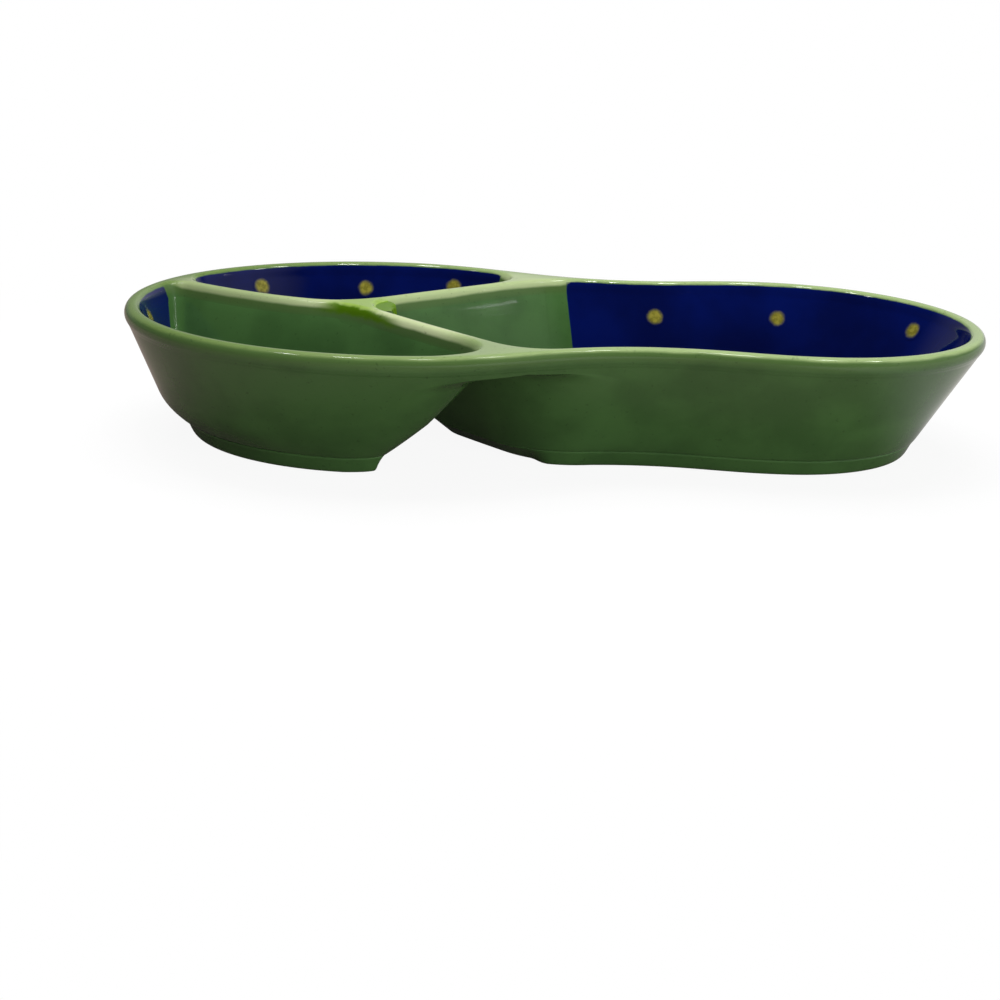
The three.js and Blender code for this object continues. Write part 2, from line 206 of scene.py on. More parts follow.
def peanut(plan):
    """A peanut outline as a closed anticlockwise loop of points."""
    half = plan["length"] / 2
    lobes = (plan["wide"], plan["waist"], plan["narrow"])
    wide, waist, narrow = ((width / 2, x) for width, x in lobes)

    def bulge(a, b):
        reach = WAIST_HANDLE * (b[1] - a[1])
        return [(a[1], a[0]), (a[1] + reach, a[0]), (b[1] - reach, b[0]), (b[1], b[0])]

    def end_turn(lobe, end):
        y, x = lobe
        return [(end, 0), (end, END_HANDLE * y), (x + END_HANDLE * (end - x), y), (x, y)]

    curves = [
        end_turn(narrow, half),
        bulge(narrow, waist),
        bulge(waist, wide),
        end_turn(wide, -half)[::-1],
    ]
    back = np.concatenate([bezier(c, OUTLINE_STEPS + 1)[:-1] for c in curves] + [[(-half, 0)]])
    return np.concatenate([back, back[-2:0:-1] * (1, -1)])


def shift(points, distance, closed=True):
    """Shifts a line of points sideways, to its left for positive distances."""
    if closed:
        along = np.roll(points, -1, 0) - np.roll(points, 1, 0)
    else:
        along = np.gradient(points, axis=0)
    along = along / np.linalg.norm(along, axis=1, keepdims=True)
    return points + np.reshape(distance, (-1, 1)) * np.column_stack([-along[:, 1], along[:, 0]])


def cross(a, b):
    return a[..., 0] * b[..., 1] - a[..., 1] * b[..., 0]


def crossing(a, b):
    """Where two lines of points cross: the point, and its place along each line."""
    r = np.diff(a, axis=0)[:, None]
    s = np.diff(b, axis=0)[None]
    gap = b[None, :-1] - a[:-1, None]
    across = cross(r, s)
    across[across == 0] = PARALLEL
    t = cross(gap, s) / across
    u = cross(gap, r) / across
    i, j = np.argwhere((t > -TOUCHING) & (t < 1) & (u > -TOUCHING) & (u < 1))[0]
    return a[i] + t[i, j] * r[i, 0], i + t[i, j], j + u[i, j]


def stretch(points, low, high, start, end):
    """The part of a line of points between two places on it, with its ends."""
    place = np.arange(len(points))
    return np.concatenate([[start], points[(place > low) & (place < high)], [end]])


def length_of(points):
    return np.hypot(*np.diff(points, axis=0).T).sum()


def within(points, loop):
    """Which points lie inside a closed loop."""
    a = loop[None]
    b = np.roll(loop, -1, axis=0)[None]
    p = points[:, None]
    spans = (a[..., 1] > p[..., 1]) != (b[..., 1] > p[..., 1])
    rises = np.where(b[..., 1] == a[..., 1], 1, b[..., 1] - a[..., 1])
    at = a[..., 0] + (p[..., 1] - a[..., 1]) / rises * (b[..., 0] - a[..., 0])
    return (spans & (p[..., 0] < at)).sum(axis=1) % 2 == 1


def gap_to(points, loop):
    """The distance from each point to a closed loop, negative inside it."""
    a = loop[None]
    b = np.roll(loop, -1, axis=0)[None]
    p = points[:, None]
    along = b - a
    t = np.clip(((p - a) * along).sum(2) / (along**2).sum(2), 0, 1)
    gap = np.linalg.norm(p - a - t[..., None] * along, axis=2).min(axis=1)
    return np.where(within(points, loop), -gap, gap)


RIM_OUTLINE = peanut(RIM_PLAN)
TABLE_OUTLINE = peanut(TABLE_PLAN)
ARM_LINES = {
    name: bezier([HUB, arm["bend"], arm["end"]], ARM_STEPS + 1) for name, arm in ARMS.items()
}


def belly_at(z):
    """How far the outer wall bulges at one height.

    The bulge grows evenly from the rim down, and then curves in to the foot.
    """
    straight = RIM_UNDERSIDE - BELLY_HEIGHT
    if z >= BELLY_HEIGHT:
        return BELLY * (RIM_UNDERSIDE - z) / straight
    slope = (BELLY_HEIGHT - FOOT_HEIGHT) / straight
    down = (BELLY_HEIGHT - z) / (BELLY_HEIGHT - FOOT_HEIGHT)
    return BELLY * (1 + slope * down - (1 + slope) * down**2)


def wall_outside(z, inset=0.0):
    """The outside of the outer wall at one height, moved inwards by an inset."""
    top = shift(RIM_OUTLINE, RIM_OVERHANG)
    loop = top + (TABLE_OUTLINE - top) * (RIM_UNDERSIDE - z) / RIM_UNDERSIDE
    full, none = BELLY_SPAN
    past = np.clip((loop[:, 0] - full) / (none - full), 0, 1)
    return shift(loop, inset - belly_at(z) * (1 - smooth(past)))


def tub_outline(tub, wall, arm_insets, flare, opened):
    """One tub's outline at one level, anticlockwise: the outer wall, then the two divider walls.

    The flare rounds the outer corners by a share of the divider walls. Corners are sharp where
    opened is 0, and fully rounded where it is 1.
    """
    from_edge = shift(ARM_LINES[tub["from"]], arm_insets[0], False)
    to_edge = shift(ARM_LINES[tub["to"]], -arm_insets[1], False)
    # The loop is turned so that the wall never runs over its own seam inside the tub.
    turned = np.roll(wall, -len(wall) // 2, axis=0) if tub["from"] == "near" else wall
    start, start_arm, start_wall = crossing(from_edge, turned)
    end, end_arm, end_wall = crossing(to_edge, turned)
    hub, hub_from, hub_to = crossing(from_edge, to_edge)
    outer = stretch(turned, start_wall, end_wall, start, end)
    to_hub = stretch(to_edge, hub_to, end_arm, hub, end)[::-1]
    from_hub = stretch(from_edge, hub_from, start_arm, hub, start)
    hub_trim, start_trim, end_trim = tub["trims"]
    start_trim = max(start_trim, flare * ARMS[tub["from"]]["flare"] * length_of(from_hub))
    end_trim = max(end_trim, flare * ARMS[tub["to"]]["flare"] * length_of(to_hub))
    # Near the floor an edge can be too short for its two corners, so the corners shrink.
    needs = (
        (outer, start_trim + end_trim),
        (to_hub, end_trim + hub_trim),
        (from_hub, hub_trim + start_trim),
    )
    room = min(1.0, min(CORNER_ROOM * length_of(edge) / trims for edge, trims in needs))
    hub_trim, start_trim, end_trim = (
        max(LEAST_TRIM, room * opened * trim) for trim in (hub_trim, start_trim, end_trim)
    )
    outer = even(outer, tub["outer"], start_trim, end_trim)
    to_hub = even(to_hub, DIVIDER_POINTS, end_trim, hub_trim)
    from_hub = even(from_hub, DIVIDER_POINTS, hub_trim, start_trim)
    t = CORNER_SHARES[:, None]

    def corner(before, point, after):
        return (1 - t) ** 2 * before[-1] + 2 * t * (1 - t) * point + t**2 * after[0]

    return np.concatenate(
        [
            outer,
            corner(outer, end, to_hub),
            to_hub,
            corner(to_hub, hub, from_hub),
            from_hub,
            corner(from_hub, start, outer),
        ]
    )


def tub_inside(tub, z, inset=0.0):
    """A tub's outline inside its walls at one height."""
    lean = WALL_LEAN * (RIM_UNDERSIDE - z) + inset
    arm_insets = [ARMS[tub[side]]["width"] / 2 + lean for side in ("from", "to")]
    return tub_outline(tub, wall_outside(z, RIM_WIDTH - RIM_OVERHANG + inset), arm_insets, 0, 1)


def tub_outside(tub, z):
    """A tub's outline outside its walls at one height. Two tubs meet in a round-topped groove."""
    drop = max(0.0, GROOVE_TOP - z)
    turn = math.atan(1 / GROOVE_LEAN)
    round_drop = min(drop, GROOVE_ROUND * (1 - math.cos(turn)))
    groove = math.sqrt(GROOVE_ROUND**2 - (GROOVE_ROUND - round_drop) ** 2)
    groove += GROOVE_LEAN * (drop - round_drop)
    soft = smooth(min(1.0, drop / LIP_ROUND))
    opened = soft * math.sqrt(1 - (1 - min(1.0, drop / LIP_DROP)) ** 2)
    return tub_outline(tub, wall_outside(z), (groove, groove), 1, opened)


def outer_share(tub):
    """1 at the points of a tub's outline on the outer wall, 0 on its divider walls.

    At the corners it lies between.
    """
    dividers = np.zeros(2 * DIVIDER_POINTS + CORNER_POINTS)
    return np.concatenate([np.ones(tub["outer"]), 1 - CORNER_SHARES, dividers, CORNER_SHARES])


def foot_slope(tub):
    """How far the foot moves in per millimetre of drop, at the points of a tub's outline."""
    end, start = (ARMS[tub[side]]["slope"] for side in ("to", "from"))
    side_points = CORNER_POINTS + DIVIDER_POINTS
    to_side = np.full(tub["outer"] + side_points, end)
    hub = np.linspace(end, start, CORNER_POINTS)
    return np.concatenate([to_side, hub, np.full(side_points, start)])


# Profiles


def bead_profile():
    """The rim's outer edge, as distances in from the outline and heights.

    It goes from the crest outwards and down.
    """
    centre = DISH_HEIGHT - BEAD_RISE
    return [
        (BEAD_DEPTH + BEAD_DEPTH * math.cos(a), centre + BEAD_RISE * math.sin(a))
        for a in np.radians(BEAD_ANGLES)
    ]


def crest_profile():
    """The edge over a tub, as distances out from the tub's mouth and heights.

    It leaves the wall in the wall's own direction, steepens, and rounds over to the level top.
    """
    height = DISH_HEIGHT - RIM_UNDERSIDE
    handles = [
        (0, 0),
        (WALL_LEAN * CREST_FOLLOW * height, CREST_FOLLOW * height),
        (CREST_TURN * CREST_REACH, height),
        (CREST_REACH, height),
    ]
    rounded = [(d, RIM_UNDERSIDE + z) for d, z in bezier(handles, CREST_STEPS)[:-1]]
    short, under = CREST_END
    return rounded + [(CREST_REACH - short, DISH_HEIGHT - under)]


def floor_profile():
    """The fillet at a tub's floor, as extra insets from the leaning wall and heights.

    It goes from the wall down to the floor.
    """
    turn = math.atan(1 / WALL_LEAN)
    reach = FLOOR_FILLET * math.tan(turn / 2)
    points = []
    for a in np.linspace(turn, 0, FILLET_STEPS):
        height = FLOOR_FILLET * (1 - math.cos(a))
        inset = reach - FLOOR_FILLET * math.sin(a) + WALL_LEAN * height
        points.append((inset, FLOOR_TOP + height))
    return points


# Meshes


def level(points, z):
    return np.column_stack([points, np.full(len(points), float(z))])


def loft_faces(first, count, rings, closed_round=True, closed_chain=False):
    """Quads between rings of equal point counts that follow each other."""
    faces = []
    for r in range(rings if closed_chain else rings - 1):
        low = first + r * count
        high = first + ((r + 1) % rings) * count
        for i in range(count if closed_round else count - 1):
            j = (i + 1) % count
            faces.append((low + i, low + j, high + j, high + i))
    return faces


def piece(name, points, faces, material, node, slot):
    """A smooth mesh piece that stands for one node of the frame."""
    mesh = bpy.data.meshes.new(name)
    mesh.from_pydata((np.asarray(points) * MM).tolist(), [], faces)
    mesh.shade_smooth()
    mesh.materials.append(material)
    made = bpy.data.objects.new(name, mesh)
    bpy.context.collection.objects.link(made)
    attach(made, "root")
    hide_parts(node)
    return made


def set_attribute(made, name, values):
    """Gives each point of a piece a value that its material reads."""
    layer = made.data.attributes.new(name, "FLOAT", "POINT")
    layer.data.foreach_set("value", np.asarray(values, dtype=np.float32))


def inner_share(points):
    """1 at the points over the middle of the plan, where the arms and webs are, 0 at its edge."""
    inside = -gap_to(points[:, :2], RIM_OUTLINE[::OUTLINE_SKIP])
    return smooth(np.clip((inside - INNER_START) / INNER_SPAN, 0, 1))


def rim_mesh():
    """The crest over the whole plan.

    A bead runs round the outside and an edge over each tub, with a level top between them.
    """
    bead = bead_profile()
    loops = [level(shift(RIM_OUTLINE, d), z) for d, z in bead if z >= RIM_UNDERSIDE]
    for d, z in bead:
        if z < RIM_UNDERSIDE:
            proud = RIM_OVERHANG + WALL_LEAN * (RIM_UNDERSIDE - z) - d
            loops.append(level(wall_outside(z, -max(proud, LEAST_OVERHANG)), z))
    for z, proud in RIM_HEM:
        loops.append(level(wall_outside(z, -proud), z))
    rings = list(loops)
    count = len(RIM_OUTLINE)
    faces = [f[::-1] for f in loft_faces(0, count, len(loops))]
    top = [loops[0]]
    starts = [0]
    first = count * len(loops)
    for tub in TUBS.values():
        mouth = tub_inside(tub, RIM_UNDERSIDE)
        edge = [level(shift(mouth, -d), z) for d, z in crest_profile()]
        rings += edge
        faces += [f[::-1] for f in loft_faces(first, len(mouth), len(edge))]
        top.append(edge[-1])
        starts.append(first + len(mouth) * (len(edge) - 1))
        first += len(mouth) * len(edge)
    points = np.concatenate(rings)
    # The level top between the last loops
    places = np.concatenate([np.arange(s, s + len(loop)) for s, loop in zip(starts, top)])
    for corners in geometry.tessellate_polygon([[Vector(p) for p in loop] for loop in top]):
        a, b, c = (int(places[k]) for k in corners)
        flip = cross(points[b] - points[a], points[c] - points[a]) < 0
        faces.append((a, c, b) if flip else (a, b, c))
    return points, faces


def tub_mesh(tub):
    """A tub from its underside, up the outside, over the top and down the inside to its floor."""
    share = outer_share(tub)
    underside = tub_outside(tub, FOOT_HEIGHT)
    rings = [level(shift(underside, TUB_UNDERSIDE_INSET), FOOT_HEIGHT)]
    rings += [level(shift(tub_outside(tub, z), inset * share), z) for z, inset in TUB_LOWER_EDGE]
    rings += [level(tub_outside(tub, z), z) for z in TUB_WALL]
    mouth = tub_inside(tub, RIM_UNDERSIDE)
    for over, behind in MOUTH_LAPS:
        rings.append(level(shift(mouth, -WALL_LEAN * over - behind), RIM_UNDERSIDE + over))
    fillet = floor_profile()
    for z in np.linspace(RIM_UNDERSIDE, fillet[0][1], WALL_STEPS)[:-1]:
        rings.append(level(tub_inside(tub, z), z))
    rings += [level(tub_inside(tub, z, inset), z) for inset, z in fillet]
    count = len(rings[0])
    faces = loft_faces(0, count, len(rings))
    last = count * (len(rings) - 1)
    faces.append(tuple(range(count - 1, -1, -1)))
    faces.append(tuple(range(last, last + count)))
    return np.concatenate(rings), faces


def inset_loop(points, distance):
    """A closed outline moved inwards.

    Points that would fold over in a tight corner are put on a straight line.
    """
    moved = shift(points, distance)
    place = np.arange(len(points))
    good = -gap_to(moved, points) > FOLD_LIMIT * distance
    columns = [
        np.interp(place, place[good], moved[good, k], period=len(points)) for k in range(2)
    ]
    return np.column_stack(columns)


def foot_mesh(tub):
    """The ring that a tub stands on.

    It is almost flush under the outer wall, and slopes in under the divider walls.
    """
    start, span = FOOT_TURN
    share = smooth(np.clip((outer_share(tub) - start) / span, 0, 1))
    slope = foot_slope(tub)
    top = tub_outside(tub, FOOT_HEIGHT)
    rings = []
    for z, inset in FOOT_OUTSIDE:
        sloping = slope * max(0, FOOT_HEIGHT - z) + FOOT_ROUND * max(0, 1 - z) ** 2 + FOOT_STEP
        rings.append(level(inset_loop(top, share * inset + (1 - share) * sloping), z))
    for z, inset in FOOT_INSIDE:
        further = (1 - share) * FOOT_INSIDE_SLOPE * slope * max(0, FOOT_HEIGHT - z)
        rings.append(level(inset_loop(top, inset + further), z))
    return np.concatenate(rings), loft_faces(0, len(rings[0]), len(rings), closed_chain=True)


class Lining:
    """The blue glaze on the inside of a tub's outer wall, as a grid of points.

    The grid goes a little past the blue area on all sides.
    """

    TOP = 53.1
    LOW = 13.0
    PAST_TOP = 0.9
    PAST_LOW = 1.5
    PAST_ENDS = 4  # points
    LIFT = 0.1

    def __init__(self, tub):
        mouth = tub_inside(tub, RIM_UNDERSIDE)
        lowest = self.LOW + self.PAST_LOW
        rows = []
        for d, z in reversed(crest_profile()):
            if RIM_UNDERSIDE < z < self.TOP + self.PAST_TOP:
                rows.append((z, shift(mouth, self.LIFT - d)))
        for z in np.linspace(RIM_UNDERSIDE, lowest, WALL_STEPS):
            rows.append((z, shift(tub_inside(tub, z), self.LIFT)))
        inset, z = next(step for step in floor_profile() if step[1] < lowest)
        rows.append((z, shift(tub_inside(tub, z, inset), self.LIFT)))
        spare = self.PAST_ENDS
        at_start, at_end = (round(share * (CORNER_POINTS + 1)) for share in tub["blue"])
        self.wall = slice(spare + at_start, spare + at_start + tub["outer"])
        columns = np.arange(-spare - at_start, tub["outer"] + at_end + spare)
        self.heights = np.array([z for z, _ in rows])
        self.rows = np.array([level(loop[columns], z) for z, loop in rows])
        steps = np.linalg.norm(np.diff(self.rows, axis=1), axis=2)
        self.along = np.concatenate([np.zeros((len(rows), 1)), np.cumsum(steps, axis=1)], axis=1)
        self.ends = self.along[:, [spare, -1 - spare]]

    def mesh(self):
        count = self.rows.shape[1]
        faces = loft_faces(0, count, len(self.rows), closed_round=False)
        return self.rows.reshape(-1, 3), faces

    def edge(self):
        """How far each point lies inside the blue area's border, negative outside."""
        sides = np.minimum(self.along - self.ends[:, :1], self.ends[:, 1:] - self.along)
        ends = np.minimum(self.TOP - self.heights, self.heights - self.LOW)[:, None]
        return np.minimum(sides, ends).ravel()

    def line_at(self, z):
        """The lining's points at one height."""
        k = int(np.clip(np.searchsorted(-self.heights, -z), 1, len(self.heights) - 1))
        share = (z - self.heights[k]) / (self.heights[k - 1] - self.heights[k])
        return self.rows[k] + share * (self.rows[k - 1] - self.rows[k])

    def seat(self, point):
        """The nearest point of the lining at the same height."""
        line = self.line_at(point[2])
        a, b = line[:-1], line[1:]
        t = np.clip(((point - a) * (b - a)).sum(1) / ((b - a) ** 2).sum(1), 0, 1)
        feet = a + t[:, None] * (b - a)
        return feet[np.linalg.norm(feet - point, axis=1).argmin()]

    def dot(self, share, drop):
        """A round patch that follows the wall, as points, faces and distances from its centre."""
        z = DISH_HEIGHT - drop
        line = even(self.line_at(z)[self.wall][:, :2], LINE_STEPS + 1)
        middle = round(LINE_STEPS * share)
        centre = np.append(line[middle], z)
        ahead = np.append(line[middle + NEXT_STEPS] - line[middle - NEXT_STEPS], 0)
        ahead /= np.linalg.norm(ahead)
        up = self.seat(centre + (0, 0, 1)) - self.seat(centre - (0, 0, 1))
        up -= ahead * (up @ ahead)
        up /= np.linalg.norm(up)
        lift = DOT_LIFT * np.cross(up, ahead)
        points = [centre + lift]
        radial = [0.0]
        for r in np.linspace(0, DOT_RADIUS + DOT_FADE, DOT_RINGS + 1)[1:]:
            for a in np.linspace(0, 2 * math.pi, DOT_SIDES, endpoint=False):
                flat = centre + r * (math.cos(a) * ahead + math.sin(a) * up)
                points.append(self.seat(flat) + lift)
                radial.append(r)
        faces = [(0, 1 + (i + 1) % DOT_SIDES, 1 + i) for i in range(DOT_SIDES)]
        faces += loft_faces(1, DOT_SIDES, DOT_RINGS)
        return points, faces, radial


def crest_height(points, tub):
    """The height of the surface at plan points on the crest and a little way into a tub."""
    profile = np.array(crest_profile())
    gap = gap_to(points, tub_inside(tub, RIM_UNDERSIDE))
    on_crest = np.interp(gap, profile[:, 0], profile[:, 1])
    return np.where(gap < 0, RIM_UNDERSIDE + gap / WALL_LEAN, on_crest)


def hub_mesh():
    """A pool of lime glaze round the hub, with the pool's depth at each point.

    It is deepest in the long tub's corner.
    """
    shares = np.linspace(0, 1, POOL_RINGS)
    angles = np.linspace(0, 2 * math.pi, POOL_SIDES, endpoint=False)
    turns = np.column_stack([np.cos(angles), np.sin(angles)])
    plan = np.concatenate([POOL_CENTRE + s * POOL_RADIUS * turns for s in shares])
    corner = dict(TUBS["long"], trims=(POOL_CORNER,) + TUBS["long"]["trims"][1:])
    gap = gap_to(plan, tub_inside(corner, RIM_UNDERSIDE))
    pool = np.interp(gap, POOL_GAPS, POOL_LEVELS) + DISH_HEIGHT
    heights = {name: crest_height(plan, tub) for name, tub in TUBS.items()}
    crest = np.min(list(heights.values()), axis=0)
    falling = np.minimum(heights["front"], heights["back"]) < DISH_HEIGHT - POOL_STOP
    pool = np.where(falling, crest - POOL_SUNK, pool)
    film = np.repeat(FILM_EDGE + FILM_RISE * np.sqrt(1 - shares**2), POOL_SIDES)
    top = np.maximum(pool, crest) + film
    faces = [f[::-1] for f in loft_faces(0, POOL_SIDES, POOL_RINGS)]
    return np.column_stack([plan, top]), faces, pool - crest


# Shader helpers


def add_node(tree, kind, inputs=None, **settings):
    made = tree.nodes.new("ShaderNode" + kind)
    for key, value in settings.items():
        setattr(made, key, value)
    for key, value in (inputs or {}).items():
        if isinstance(value, bpy.types.NodeSocket):
            tree.links.new(value, made.inputs[key])
        else:
            made.inputs[key].default_value = value
    return made


def blend(tree, share, a, b):
    """A colour between a and b."""
    return add_node(tree, "Mix", {0: share, 6: a, 7: b}, data_type="RGBA").outputs[2]


def rise(tree, value, low, high, bottom=0.0, top=1.0):
    """A smooth rise from bottom to top while a value goes from low to high."""
    inputs = {"Value": value, "From Min": low, "From Max": high, "To Min": bottom, "To Max": top}
    return add_node(tree, "MapRange", inputs, interpolation_type="SMOOTHSTEP").outputs[0]


def maths(tree, operation, *values):
    return add_node(tree, "Math", dict(enumerate(values)), operation=operation).outputs[0]


def plus(tree, a, b):
    return maths(tree, "ADD", a, b)


def times(tree, a, b):
    return maths(tree, "MULTIPLY", a, b)


def larger(tree, a, b):
    return maths(tree, "MAXIMUM", a, b)


def vector(tree, operation, a, b=None):
    inputs = {0: a} if b is None else {0: a, 1: b}
    return add_node(tree, "VectorMath", inputs, operation=operation).outputs


def position(tree):
    """The place on the object, in metres."""
    return add_node(tree, "TexCoord").outputs["Object"]


def parts(tree, place):
    return add_node(tree, "SeparateXYZ", {0: place}).outputs


def noise(tree, scale, detail):
    inputs = {"Vector": position(tree), "Scale": scale, "Detail": detail}
    return add_node(tree, "TexNoise", inputs).outputs[0]


def wander(tree, size, scale, detail):
    """Noise from minus to plus half a size."""
    return maths(tree, "MULTIPLY_ADD", noise(tree, scale, detail), size, -size / 2)


def clouds(tree, texture, spread, a, b):
    """Two colours in clouds: a noise's scale and detail, and the values between which it turns."""
    return blend(tree, rise(tree, noise(tree, *texture), *spread), a, b)


def read(tree, name):
    """The value that a piece's points carry under a name."""
    return add_node(tree, "Attribute", attribute_name=name).outputs["Fac"]


def distance_to(tree, place, x, y):
    """The plan distance from a place to a point."""
    flat = vector(tree, "MULTIPLY", place, (1, 1, 0))[0]
    return vector(tree, "DISTANCE", flat, (x, y, 0))["Value"]


def mirrored_ray(tree, path):
    return larger(tree, path.outputs["Is Glossy Ray"], path.outputs["Is Transmission Ray"])


# Glazes

WALL_GREEN = (0.056, 0.138, 0.037, 1)
DEEP_GREEN = (0.043, 0.108, 0.029, 1)
# The bead's and the crest's greens are lighter partly for thin glaze and partly as painted light
# on the faces that look up.
BEAD_THIN_AND_LIT = (0.080, 0.150, 0.042, 1)
CREST_OLIVE = (0.145, 0.225, 0.065, 1)
CREST_THIN_AND_LIT = (0.33, 0.44, 0.19, 1)
# Painted highlight: cream glare on the level tops of the arms.
CREST_GLARE_CREAM = (0.54, 0.62, 0.34, 1)
FLECK_GREEN = (0.018, 0.040, 0.014, 1)
BLUE = (0.0006, 0.0055, 0.093, 1)
DEEP_BLUE = (0.0005, 0.0035, 0.056, 1)
YELLOW = (0.32, 0.285, 0.042, 1)
OCHRE = (0.19, 0.17, 0.022, 1)
LIME = (0.25, 0.40, 0.05, 1)
# The lime glaze in painted shade, for the sloping face under the crest.
SHADED_LIME = (0.07, 0.165, 0.003, 1)
POOL_LIME = (0.095, 0.20, 0.001, 1)

GREEN_ROUGHNESS = 0.1
BLUE_ROUGHNESS = 0.07
DOT_ROUGHNESS = 0.1
LIME_ROUGHNESS = 0.06

# Noises, as scale and detail, and the values between which each one turns
MOTTLE, MOTTLE_SPREAD = (38, 4), (0.35, 0.65)
FLECKS, FLECK_SPREAD = (620, 2), (0.66, 0.74, 0, 0.35)
COBALT, COBALT_SPREAD = (30, 3), (0.3, 0.7)
GRAINS, GRAIN_SPREAD = (480, 2), (0.35, 0.65)
SHEEN, SHEEN_SPREAD = (55, 3), (0.3, 0.7)
SHEEN_SHARES = (0.8, 1.3)  # of a glaze's roughness
WAVES = (28, 2)
PINHOLES, PINHOLE_SHARE = (420, 2), 0.06
WAVE_BUMP = {"Strength": 0.25, "Distance": 0.0009}

# Wandering edges, as size, scale and detail
THIN_WANDER = (0.0012, 60, 3)
STREAK_WANDER = (0.0024, 240, 2)
BORDER_WANDER = (0.5, 180, 3)
DOT_WANDER = (1.4, 330, 3)
DEPTH_WANDER = (0.8, 260, 2)

# Heights over which the green turns lighter: to the bead's colour and to the crest's. This is
# partly the glaze thinning over the edges and partly painted light on the faces that look up,
# which leaves the bead's lower side darker as painted shade. In the middle of the plan it does so
# lower down.
BEAD_THIN_AND_LIT_HEIGHTS = (0.0485, 0.0524)
CREST_THIN_AND_LIT_HEIGHTS = (0.0526, 0.0539)
INNER_LIFT = 0.0018
# The crest is olive at the wide end. A cream painted highlight, the lamps' glare on the arms'
# level tops, starts and fades across the dish.
OLIVE_TO_GREEN = (-0.16, 0.06)
GLARE_START = (-0.064, -0.042)
GLARE_FADE = (0.012, -0.012, 0.45)
# Lime washes over the crest round the hub.
WASH_CENTRE = (-0.080, -0.003)
WASH_REACH = (0.027, 0.012, 0, 0.9)
WASH_UNEVEN, WASH_SPREAD = (130, 2), 0.012
WASH_HEIGHTS = (0.0505, 0.0530)
# A streak of it runs down beside the hub, on one side of a slanting line, in a darker lime that is
# painted shade on the sloping face.
STREAK_LINE = (0.79, 0.61, 0)
STREAK_SIDE = (-0.0675, -0.0705)
STREAK_FRONT = (0.001, -0.002)
STREAK_LOW = (0.0492, 0.0512)
STREAK_HIGH = (0.0541, 0.0530)
STREAK_CENTRE = (-0.083, -0.016)
STREAK_REACH = (0.027, 0.013)
# Depths of the pool in millimetres: where it starts, deepens and loses its shine
POOL_START = (-0.5, 0.2)
POOL_DEEPENS = (0.1, 0.7)
POOL_SHINE = (-0.5, 0.6, 0.5, 0.06)
# Millimetres inside the blue border, and from a dot's centre
BORDER = (-0.25, 0.35)
DOT_EDGE = (DOT_RADIUS + 0.8, DOT_RADIUS - 1.6)


def shaded_lime_streak(tree, place, height):
    """Where lime glaze has run down under the crest, on the front tub's side of the hub, in a
    darker lime that is painted shade on the sloping face.
    """
    beside = vector(tree, "DOT_PRODUCT", place, STREAK_LINE)["Value"]
    across = parts(tree, place)[1]
    side = times(tree, rise(tree, beside, *STREAK_SIDE), rise(tree, across, *STREAK_FRONT))
    uneven = plus(tree, height, wander(tree, *STREAK_WANDER))
    band = times(tree, rise(tree, uneven, *STREAK_LOW), rise(tree, uneven, *STREAK_HIGH))
    near = rise(tree, distance_to(tree, place, *STREAK_CENTRE), *STREAK_REACH)
    return times(tree, times(tree, side, band), near)


def green_colour(tree):
    """Green glaze, mottled and flecked. It turns pale green on the bead and crests, partly where
    the glaze is thin and partly as painted light on the faces that look up.
    """
    place = position(tree)
    along, across, height = parts(tree, place)
    inner = read(tree, "inner")
    colour = clouds(tree, MOTTLE, MOTTLE_SPREAD, DEEP_GREEN, WALL_GREEN)
    lift = maths(tree, "MULTIPLY_ADD", inner, INNER_LIFT, wander(tree, *THIN_WANDER))
    # Painted light and thin glaze: the bead and crest turn lighter higher up, and the bead's lower
    # side keeps the darker wall green as painted shade.
    thin_and_lit_height = plus(tree, height, lift)
    colour = blend(tree, rise(tree, thin_and_lit_height, *BEAD_THIN_AND_LIT_HEIGHTS), colour, BEAD_THIN_AND_LIT)
    top = blend(tree, rise(tree, along, *OLIVE_TO_GREEN), CREST_OLIVE, CREST_THIN_AND_LIT)
    # Painted highlight: cream glare on the level tops over the middle of the plan, fading across
    # the dish.
    pale = times(tree, rise(tree, across, *GLARE_START), rise(tree, across, *GLARE_FADE))
    top = blend(tree, times(tree, inner, pale), top, CREST_GLARE_CREAM)
    colour = blend(tree, rise(tree, thin_and_lit_height, *CREST_THIN_AND_LIT_HEIGHTS), colour, top)
    uneven = times(tree, noise(tree, *WASH_UNEVEN), WASH_SPREAD)
    spread = plus(tree, distance_to(tree, place, *WASH_CENTRE), uneven)
    wash = times(tree, rise(tree, spread, *WASH_REACH), rise(tree, height, *WASH_HEIGHTS))
    colour = blend(tree, wash, colour, LIME)
    # Painted shade: the lime turns darker down the sloping face beside the hub.
    colour = blend(tree, shaded_lime_streak(tree, place, height), colour, SHADED_LIME)
    return clouds(tree, FLECKS, FLECK_SPREAD, colour, FLECK_GREEN)


def blue_colour(tree):
    """Cobalt glaze with darker clouds."""
    return clouds(tree, COBALT, COBALT_SPREAD, DEEP_BLUE, BLUE)


def lining_colour(tree):
    """Blue glaze with a wandering border on the green."""
    edge = plus(tree, read(tree, "edge"), wander(tree, *BORDER_WANDER))
    return blend(tree, rise(tree, edge, *BORDER), green_colour(tree), blue_colour(tree))


def dot_colour(tree):
    """Grainy yellow glaze that fades into the blue round it."""
    radial = plus(tree, read(tree, "radial"), wander(tree, *DOT_WANDER))
    yellow = clouds(tree, GRAINS, GRAIN_SPREAD, OCHRE, YELLOW)
    return blend(tree, rise(tree, radial, *DOT_EDGE), blue_colour(tree), yellow)


def pool_depth(tree):
    return plus(tree, read(tree, "depth"), wander(tree, *DEPTH_WANDER))


def hub_colour(tree):
    """The green glaze, with lime glaze where the pool is deep."""
    depth = pool_depth(tree)
    pool = blend(tree, rise(tree, depth, *POOL_DEEPENS), LIME, POOL_LIME)
    return blend(tree, rise(tree, depth, *POOL_START), green_colour(tree), pool)


def hub_shine(tree):
    """Duller where the pool is deep."""
    return rise(tree, pool_depth(tree), *POOL_SHINE)


